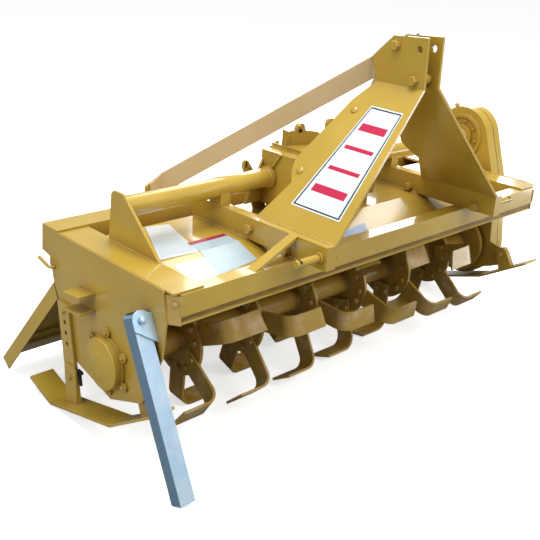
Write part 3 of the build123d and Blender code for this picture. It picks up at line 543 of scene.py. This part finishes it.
def beadSet(name, rows, material, body):
    # Weld beads along straight joints. A point is start + s * (end - start)
    # + r(s) * (cos(angle) * first + sin(angle) * second), with ripples
    # r(s) = R * (1 + ripple * sin(2 pi s length / pitch)) that taper off at both ends.
    # Rows are start and end (across, behind, above) and the bead's radius
    sides = beadLook["sides"]
    angle = np.arange(sides) * 2 * np.pi / sides
    points, faces, used = [], [], 0
    for *ends, size in rows:
        start, end = np.array(ends[:3], float), np.array(ends[3:], float)
        length = np.linalg.norm(end - start)
        share = np.linspace(0, 1, max(int(length / beadLook["step"]), 4))
        first, second = axesFrom((end - start)[None])[:2]
        swell = size * (1 + beadLook["ripple"] * np.sin(2 * np.pi * share * length / beadLook["pitch"]))
        fromEnd = np.minimum(share, 1 - share) * length
        swell *= np.sqrt(np.clip(fromEnd / beadLook["taper"], beadLook["least"], 1))
        ring = first * np.cos(angle)[:, None] + second * np.sin(angle)[:, None]
        grid = start + share[:, None, None] * (end - start) + swell[:, None, None] * ring[None]
        points.append(grid.reshape(-1, 3))
        faces += [*(gridFaces(len(share), sides, True) + used)]
        last = used + (len(share) - 1) * sides
        faces += [range(used + sides - 1, used - 1, -1), range(last, last + sides)]
        used += len(share) * sides
    return addPiece(name, place(np.concatenate(points)), faces, material, body, smooth=80)


deckEdge, railEnd, endPlate = machine["deckEdge"], machine["railEnd"], machine["endPlate"]
# Joints on both sides, each as start, end (across, behind, above) and radius of the bead
pairedBeads = {
    "mastFoot": [(374, -100, 65, 374, 194, 65, 3)],
    "barOnRail": [(edge, 1, 0, edge, 45, 0, 3) for edge in (inner, outer)],
    "barOnHood": [(edge, 200, 1, edge, 448, 1, 3) for edge in (inner, outer)],
    "saddleOnBar": [(edge, 320, 65, edge, 370, 65, 2.5) for edge in (inner, outer)],
    "endPlateOnStrap": [(endPlate, 44, 6, endPlate, 526, 6, 2.5)],
    "strapOnHood": [(deckEdge, 204, 0, deckEdge, 526, 0, 2.5)],
    "skidPostOnLug": [(822, 440, -494, 822, 498, -508, 2.5)],
    "braceFoot": [(436, 566, 14, 482, 566, 14, 2.5)],
    "cornerPlate": [(railEnd, -1, -8, railEnd, -1, -56, 2.5)],
}
# Joints that are there once
singleBeads = {
    "tubePlateOnStrap": [(x, 182, 6, x, 406, 6, 3) for x in (-deckEdge, -deckEdge - 8)],
    "rearRailOnHood": [(-700, 530, -58, 700, 530, -58, 2.5)],
}
beads = [
    (side * row[0], *row[1:3], side * row[3], *row[4:])
    for side in (-1, 1) for rows in pairedBeads.values() for row in rows
]
beads += [row for rows in singleBeads.values() for row in rows]
beadSet("frame_welds", beads, plateEnamel, "frame")

# Painted shadow along the joint between the rail and the hood's lip: a dark, low ribbon whose edges are sunk
# into the rail's face. A point is (across, sink(above), above)
lipShadeBand = {"halfWide": railEnd, "above": [-67.5, -67, -58.5, -58], "sink": [0.5, -0.4, -0.4, 0.5]}
x, above = np.meshgrid(np.linspace(-lipShadeBand["halfWide"], lipShadeBand["halfWide"], 41), lipShadeBand["above"])
sink = np.repeat(np.array(lipShadeBand["sink"])[:, None], 41, 1)
ribbon = place(np.stack([x, sink, above], -1).reshape(-1, 3))
addPiece("lip_painted_shade", ribbon, gridFaces(*x.shape, False), lipShadeEnamel, "frame", smooth=0)


def ringBeads(name, rows, material, body):
    # Weld beads round a shaft: P(s, angle) = centre + (R + r cos(angle)) * (0, cos s, sin s) + r sin(angle) * X,
    # with ripples in r. Rows are across, behind, above, radius of the joint and of the bead
    count, sides = 96, beadLook["sides"]
    turn, angle = np.meshgrid(
        np.arange(count) * 2 * np.pi / count, np.arange(sides) * 2 * np.pi / sides, indexing="ij"
    )
    quads = gridFaces(count + 1, sides, True)[:, ::-1] % (count * sides)
    points, faces = [], []
    for number, (across, behind, above, reach, size) in enumerate(rows):
        ripples = round(2 * np.pi * reach / beadLook["pitch"])
        swell = size * (1 + beadLook["ripple"] * np.sin(turn * ripples))
        out = reach + swell * np.cos(angle)
        grid = [across + swell * np.sin(angle), behind + out * np.cos(turn), above + out * np.sin(turn)]
        points.append(np.stack(grid, -1).reshape(-1, 3))
        faces += [*(quads + number * count * sides)]
    return addPiece(name, place(np.concatenate(points)), faces, material, body, smooth=80)


rotorWelds = {"reach": 38, "size": 3, "halfFlange": 6}
ringRows = [
    (middle + way * rotorWelds["halfFlange"], *machine["rotorAxis"], rotorWelds["reach"], rotorWelds["size"])
    for middle in machine["flanges"] for way in (-1, 1)
]
ringBeads("rotor_welds", ringRows, tineEnamel, "rotor")
# The torque tube's joints: place across to the bead's radius
tubeWelds = {"reach": 29, "beads": {-711: 3, -205: 2.5, 795: 3, 191: 3}}
ringRows = [(x, *machine["tubeAxis"], tubeWelds["reach"], size) for x, size in tubeWelds["beads"].items()]
ringBeads("tube_welds", ringRows, plateEnamel, "frame")
print("welds done")


def caseSeam(name, look, material):
    # Joint between the gear case and its cover. For a direction t of the outline the round k that reaches
    # farthest, with the largest centre . (cos t, sin t) + R, gives the point
    # centre(k) + (R(k) + lift) * (cos t, sin t)
    count = 240
    turn = np.linspace(0, 2 * np.pi, count, endpoint=False)
    way = np.stack([np.cos(turn), np.sin(turn)], -1)
    rounds = np.array(look["rounds"], float)
    reach = way @ rounds[:, :2].T + rounds[:, 2]
    best = rounds[reach.argmax(1)]
    rows = []
    for share, lift in look["profile"]:
        flat = best[:, :2] + (best[:, 2:] + lift) * way
        rows.append(np.column_stack([np.full(count, look["across"] + share * look["width"]), flat]))
    faces = gridFaces(len(rows), count, True)
    return addPiece(name, place(np.concatenate(rows)), faces, material, "frame")


# Rounds of the case are behind, above and radius. The profile is in shares of the width, and lift in mm
seamLook = {
    "rounds": ((345, 113, 110), (312, -70, 136), (285, -285, 134)), "across": 855, "width": 2.4,
    "profile": ((-0.6, -1), (-0.5, 0.35), (0.5, 0.35), (0.6, -1)),
}
caseSeam("case_seam", seamLook, holeDark)


def slabSet(name, rows, material, body):
    # Flat plates: an outline of (a, b) pairs laid off from an origin along two directions, made thick along
    # their cross product: P(k, t) = origin + a(k) * first + b(k) * second + t * thick * normal
    points, faces, used = [], [], 0
    for row in rows:
        first, second = (np.array(way, float) / np.linalg.norm(way) for way in (row["first"], row["second"]))
        flat = np.array(row["origin"], float) + np.array(row["outline"], float) @ np.stack([first, second])
        points += [flat, flat + row["thick"] * np.cross(first, second)]
        count = len(flat)
        ring = np.arange(count) + used
        beside = np.roll(ring, -1)
        faces += [*np.stack([ring, beside, beside + count, ring + count], -1), ring[::-1], ring + count]
        used += 2 * count
    return addPiece(name, place(np.concatenate(points)), faces, material, body)


brackets = {
    "lidPlate": {  # scalloped plate over the gearbox's lid
        "origin": (-138, 350, 203), "first": (0.92, -0.4, 0), "second": toTop, "thick": 6,
        "outline": [
            (0, 0), (118, 0), (118, 36), (88, 42), (76, 42), *arcPairs((56, 43), 17, 10, 170), (36, 42),
            *arcPairs((20, 57), 16, -50, -130), (4, 47), (0, 48),
        ],
    },
    "castRib": {  # between the tube's boss and the top edge
        "origin": (-196, 296, 190), "first": (0, 0.6, -0.8), "second": (0, 0.8, 0.6), "thick": 6,
        "outline": [(0, -3.5), (54, -3.5), (54, 3.5), (0, 3.5)],
    },
    "tubeWeb": {  # behind the tube
        "origin": (-190, 372, 30), "first": toRight, "second": toTop, "thick": 8,
        "outline": [(0, 0), (70, 0), (0, 135)],
    },
    "deckLug": {  # upright on the deck
        "origin": (-245, 396, 0), "first": toLeft, "second": toTop, "thick": 8,
        "outline": [(38, 0), (88, 0), (35, 118), *arcPairs((-1, 150), 12, 20, 160), (-12, 140), (0, 112)],
    },
}
slabSet("gearbox_brackets", brackets.values(), castEnamel, "frame")
# Slot in the deck lug, dark on both faces
lugSlot = {
    "origin": (-246, 395.6, 150), "first": toLeft, "second": toTop, "thick": 8.8,
    "outline": arcPairs((0, 5), 3, 0, 180) + arcPairs((0, -8), 3, 180, 360),
}
slabSet("lug_slot", [lugSlot], holeDark, "frame")
# Spring clips beside the skids' pads
skidClip = {
    "first": toBack, "second": toTop, "thick": 6,
    "outline": [(-6, -28), (2, -28), (3, -6), (14, 8), (8, 22), (-12, 20), (-14, 12), (-2, 8), (-4, -8)],
}
clips = [dict(skidClip, origin=(side * 812 - skidClip["thick"] / 2, 436, -404)) for side in (-1, 1)]
slabSet("skid_clips", clips, holeDark, "frame")
# Dark open end of the leg's square tube, in mm up the leg from its pivot
alongLeg, openEnd = np.array([0, math.sin(lean), math.cos(lean)]), 22
legOpening = {
    "origin": pivot + openEnd * alongLeg, "first": toLeft, "second": -pivotWay, "thick": 0.6,
    "outline": [(17, -15), (17, 15), (14, 17), (-14, 17), (-17, 15), (-17, -15), (-14, -17), (14, -17)],
}
slabSet("leg_opening", [legOpening], holeDark, "leg")
print("brackets done")

# Lengths in m. The floor's own colours light the machine, and floorSeen and floorLift are what the camera sees
room = {
    "floorSize": 40, "floorDrop": 0.0002, "floorColour": "#7C7C7A", "floorDrift": "#90908E",
    "floorSeen": "#F4F4F3", "floorLift": 0.62, "sky": 0.38,
}


def buildFloor():
    # a level square of two parameters on a small grid, (x, y, -floorDrop), just under the machine
    side = np.linspace(-room["floorSize"] / 2, room["floorSize"] / 2, 9)
    x, y = np.meshgrid(side, side)
    points = np.stack([x, y, np.full_like(x, -room["floorDrop"])], -1).reshape(-1, 3)
    mesh = bpy.data.meshes.new("floor")
    mesh.from_pydata(points.tolist(), [], gridFaces(*x.shape, False).tolist())
    floor = bpy.data.objects.new("floor", mesh)
    bpy.context.scene.collection.objects.link(floor)
    # Matt background paper. Seen by the camera it is lifted to white, and keeps the shadow
    material, tree, surface, noise = startMaterial("white_studio_paper", {"paper": (400, 2.0, 0.55)})
    seen = addNode(tree, "ShaderNodeLightPath").outputs["Is Camera Ray"]
    lift = addNode(tree, "ShaderNodeMath", (seen, room["floorLift"]), operation="MULTIPLY")
    feed(tree, surface, {
        "Base Color": layered(tree, room["floorColour"], [
            (noise["paper"], 0, 1, 1, room["floorDrift"]), (seen, 0, 1, 1, room["floorSeen"]),
        ]),
        "Roughness": 0.9, "Emission Color": (1, 1, 1, 1), "Emission Strength": lift.outputs[0],
    })
    mesh.materials.append(material)


def buildWorld():
    # an even white sky, brighter where the camera sees it than where it lights
    world = bpy.data.worlds.new("studio")
    bpy.context.scene.world = world
    world.use_nodes = True
    tree = world.node_tree
    tree.nodes.clear()
    rays = addNode(tree, "ShaderNodeLightPath").outputs
    straight = (rays["Is Camera Ray"], rays["Is Transmission Ray"])
    seen = addNode(tree, "ShaderNodeMath", straight, operation="MAXIMUM").outputs[0]
    strength = addNode(tree, "ShaderNodeMapRange", (seen, 0, 1, room["sky"], 1)).outputs["Result"]
    sky = addNode(tree, "ShaderNodeBackground", {"Color": (1, 1, 1, 1), "Strength": strength})
    addNode(tree, "ShaderNodeOutputWorld", {"Surface": sky.outputs["Background"]})


def addLamp(name, look):
    # one square softbox turned to its aim, unseen by the camera
    lamp = bpy.data.lights.new(name, "AREA")
    lamp.shape = "SQUARE"
    lamp.size, lamp.energy = look["size"], look["power"]
    holder = bpy.data.objects.new(name, lamp)
    turned = (Vector(look["aim"]) - Vector(look["spot"])).to_track_quat("-Z", "Y")
    holder.matrix_world = Matrix.Translation(look["spot"]) @ turned.to_matrix().to_4x4()
    holder.visible_camera = False
    bpy.context.scene.collection.objects.link(holder)


buildFloor()
buildWorld()
# Places and sizes in m, power in W
lamps = {
    "key_softbox": {"spot": (0.6, -4.2, 3.4), "aim": (0, 0, 0.4), "size": 2.5, "power": 110},
    "top_softbox": {"spot": (-0.7, -0.2, 4.6), "aim": (0, 0, 0.3), "size": 3.0, "power": 155},
    "right_softbox": {"spot": (-4.2, -0.6, 1.8), "aim": (0, 0, 0.3), "size": 2.0, "power": 48},
    "rear_softbox": {"spot": (2.85, 2.3, 2.05), "aim": (0, 0, 0.5), "size": 2.5, "power": 85},
    "hood_softbox": {"spot": (1.06, 0.84, 2.5), "aim": (-0.62, -0.25, 0.5), "size": 0.9, "power": 12},
    "low_softbox": {"spot": (2.35, -1.35, 0.1), "aim": (0.75, -0.35, 0.5), "size": 1.0, "power": 16},
}
for name, look in lamps.items():
    addLamp(name, look)
print("room and lamps done")

# Place in m, lens and sensor in mm
view = {
    "spot": (-1.90958, -1.79840, 1.34070), "lens": 55.99, "sensor": 36.0, "near": 0.05, "far": 200,
    "right": (0.7322, -0.6795, 0.0465), "forward": (0.64246, 0.66647, -0.37824),
}
camera = bpy.data.objects.new("camera", bpy.data.cameras.new("camera"))
camera.data.sensor_width, camera.data.lens = view["sensor"], view["lens"]
camera.data.clip_start, camera.data.clip_end = view["near"], view["far"]
forward, right = Vector(view["forward"]).normalized(), Vector(view["right"])
right = (right - forward * forward.dot(right)).normalized()
turned = Matrix((right, right.cross(forward), -forward)).transposed()
camera.matrix_world = Matrix.Translation(view["spot"]) @ turned.to_4x4()
bpy.context.scene.collection.objects.link(camera)
bpy.context.scene.camera = camera
bpy.context.scene.view_settings.view_transform = "Standard"

print("scene complete")
